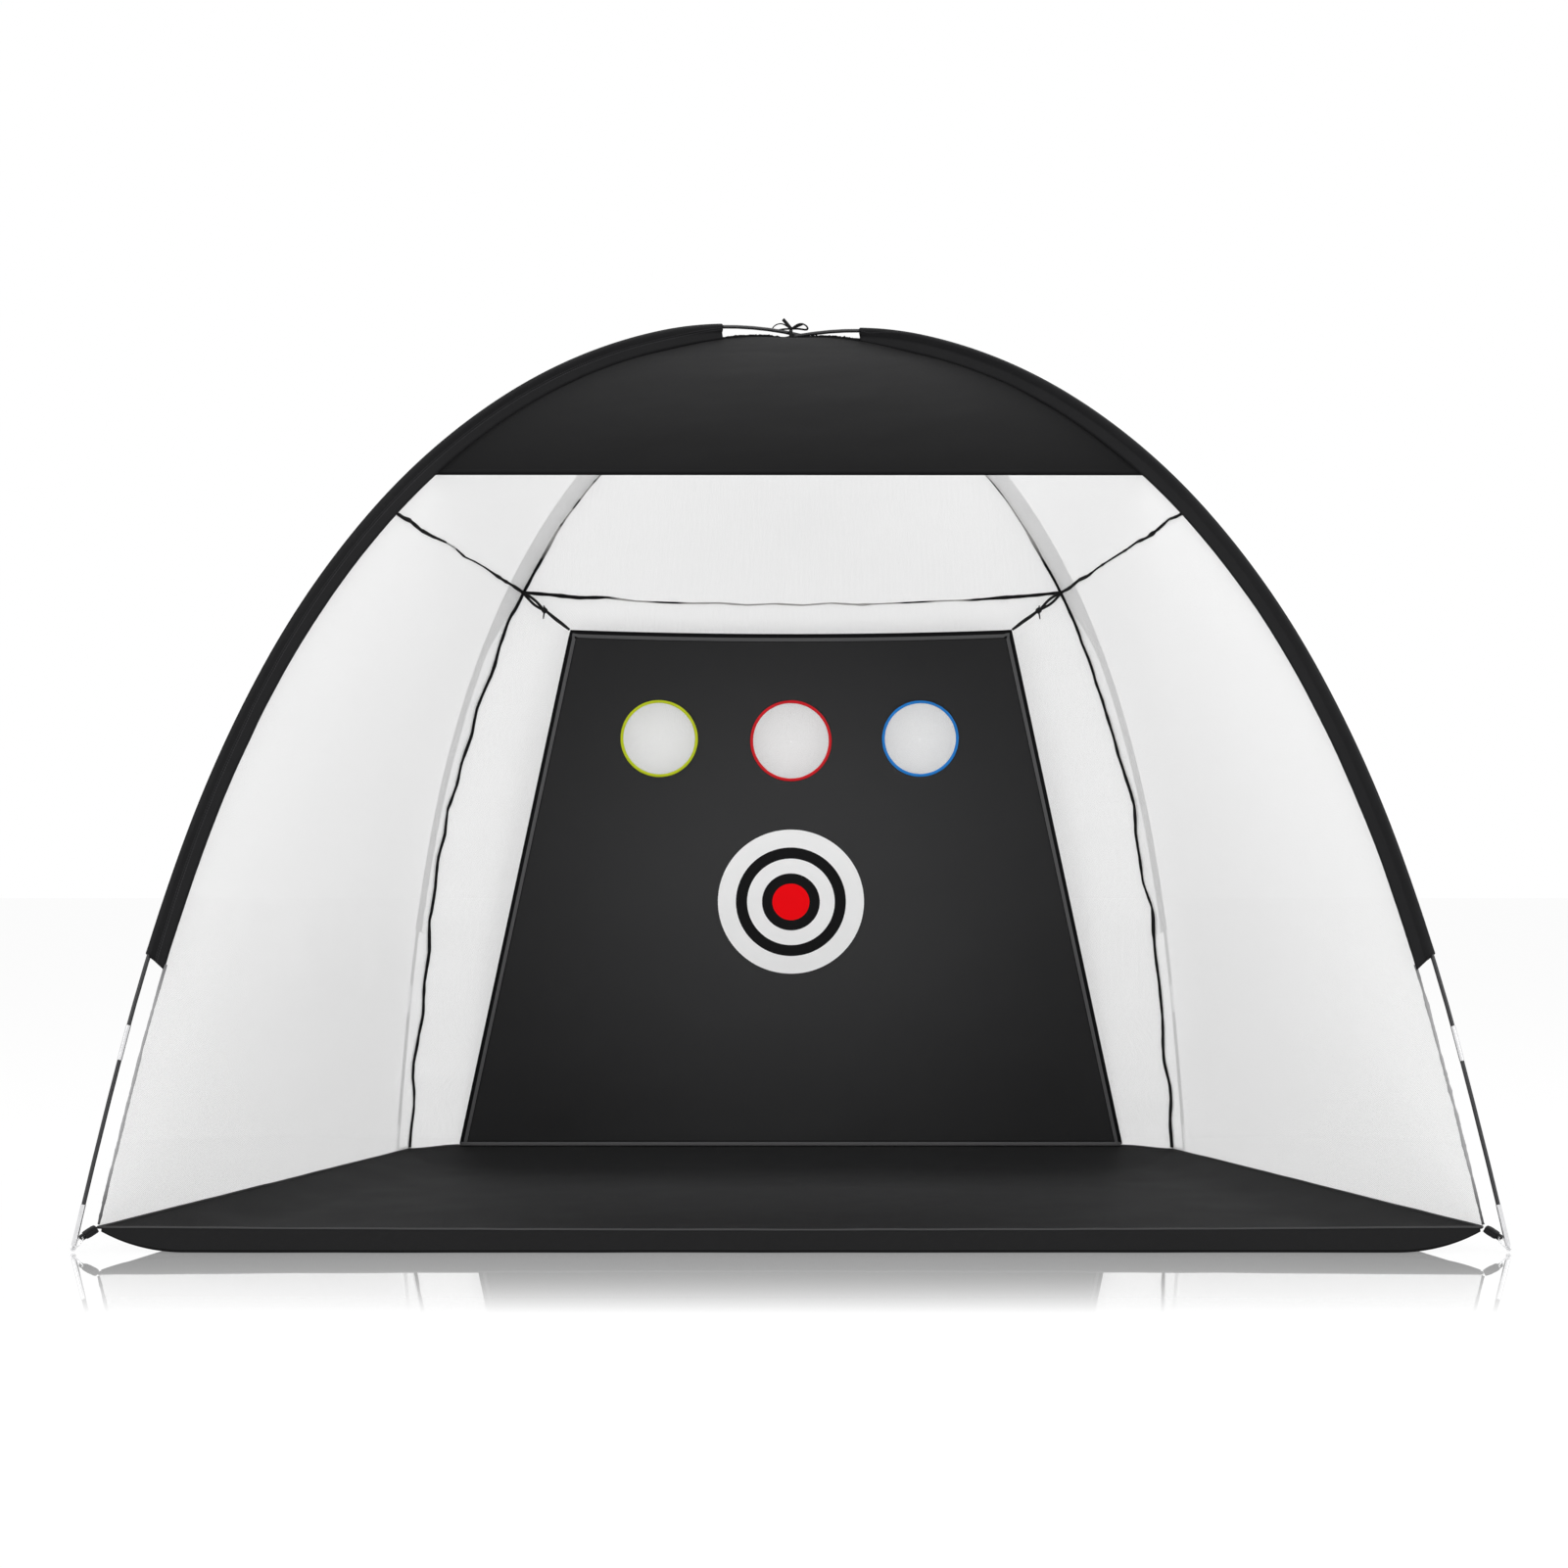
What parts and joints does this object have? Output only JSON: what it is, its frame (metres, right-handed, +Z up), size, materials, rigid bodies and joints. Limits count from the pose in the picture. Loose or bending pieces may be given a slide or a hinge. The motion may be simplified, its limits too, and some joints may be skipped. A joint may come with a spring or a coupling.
{
  "type": "golf chipping net",
  "caption": "Free-standing chipping net: crossed sprung poles carry a white mesh shelter, a ground sheet, and a hanging target cloth with a bullseye and ball holes.",
  "frame": {"origin": "centre of the footprint, on the ground", "axes": "+X to the right seen from the open front, +Y towards the back, +Z up"},
  "size_m": [2.0086, 1.0253, 1.4357],
  "materials": {
    "rod": "smooth dark pultruded fibreglass",
    "steel": "bright zinc-plated steel",
    "shock_cord": "braided elastic cord",
    "webbing": "woven polyester webbing",
    "sleeve_cloth": "black woven polyester",
    "header_cloth": "black woven polyester",
    "net_mesh": "fine white knitted mesh",
    "seam_tape": "rolled black binding tape",
    "grey_piping": "dark grey piping tape",
    "ground_cloth": "black coated woven polyester",
    "target_cloth": "black woven polyester with a printed bullseye",
    "green_tape": "yellow-green binding tape",
    "red_tape": "red binding tape",
    "blue_tape": "blue binding tape",
    "pocket_mesh": "fine white knitted mesh",
    "elastic": "flat black elastic ribbon"
  },
  "bodies": {
    "shelter": {"upper_pole_front_rods": "rod", "upper_pole_rear_rods": "rod", "upper_pole_ferrules": "steel", "lower_pole_front_rods": "rod", "lower_pole_rear_rods": "rod", "lower_pole_ferrules": "steel", "upper_pole_shock_cord": "shock_cord", "lower_pole_shock_cord": "shock_cord", "end_tip_front_left": "steel", "ring_pin_front_left": "steel", "end_tip_front_right": "steel", "ring_pin_front_right": "steel", "end_tip_rear_left": "steel", "ring_pin_rear_left": "steel", "end_tip_rear_right": "steel", "ring_pin_rear_right": "steel", "corner_webbing_front_left": "webbing", "sleeve_front_left": "sleeve_cloth", "corner_webbing_front_right": "webbing", "sleeve_front_right": "sleeve_cloth", "corner_webbing_rear_left": "webbing", "sleeve_rear_left": "sleeve_cloth", "corner_webbing_rear_right": "webbing", "sleeve_rear_right": "sleeve_cloth", "header": "header_cloth", "net_left_lower": "net_mesh", "net_left_upper": "net_mesh", "net_right_lower": "net_mesh", "net_right_upper": "net_mesh", "net_rear_lower": "net_mesh", "net_rear_upper": "net_mesh", "ring_seam": "seam_tape", "seam_rear_left": "seam_tape", "seam_rear_right": "seam_tape", "edge_binding_left": "grey_piping", "edge_binding_right": "grey_piping", "top_seam_left": "seam_tape", "top_seam_right": "seam_tape", "ground_sheet": "ground_cloth", "ground_piping": "grey_piping", "front_skirt": "ground_cloth", "target_tie_left": "elastic", "target_tie_right": "elastic", "crossing_tie": "elastic"},
    "target": {"target_cloth": "target_cloth", "target_binding": "grey_piping", "hole_rim_left": "green_tape", "hole_rim_middle": "red_tape", "hole_rim_right": "blue_tape", "pocket_left": "pocket_mesh", "pocket_middle": "pocket_mesh", "pocket_right": "pocket_mesh"},
    "ring_front_left": {"corner_ring_front_left": "steel"},
    "ring_front_right": {"corner_ring_front_right": "steel"},
    "ring_rear_left": {"corner_ring_rear_left": "steel"},
    "ring_rear_right": {"corner_ring_rear_right": "steel"}
  },
  "joints": [
    {"name": "target_sway", "type": "hinge", "parent": "shelter", "child": "target", "pos_m": [0.00003, 0.4937, 0.0377], "axis": [1, 0, 0], "range_deg": [-1.5, 6], "stiffness_Nm_per_rad": 60},
    {"name": "ring_spin_front_left", "type": "hinge", "parent": "shelter", "child": "ring_front_left", "pos_m": [-0.99484, -0.48751, 0.01173], "axis": [-0.6421, -0.3742, 0.6691], "continuous": true},
    {"name": "ring_spin_front_right", "type": "hinge", "parent": "shelter", "child": "ring_front_right", "pos_m": [0.99484, -0.48752, 0.01173], "axis": [0.6421, -0.3742, 0.6691], "continuous": true},
    {"name": "ring_spin_rear_left", "type": "hinge", "parent": "shelter", "child": "ring_rear_left", "pos_m": [-0.71036, 0.50619, 0.01171], "axis": [-0.6421, 0.3742, 0.6691], "continuous": true},
    {"name": "ring_spin_rear_right", "type": "hinge", "parent": "shelter", "child": "ring_rear_right", "pos_m": [0.71035, 0.50619, 0.01171], "axis": [0.6421, 0.3742, 0.6691], "continuous": true}
  ]
}
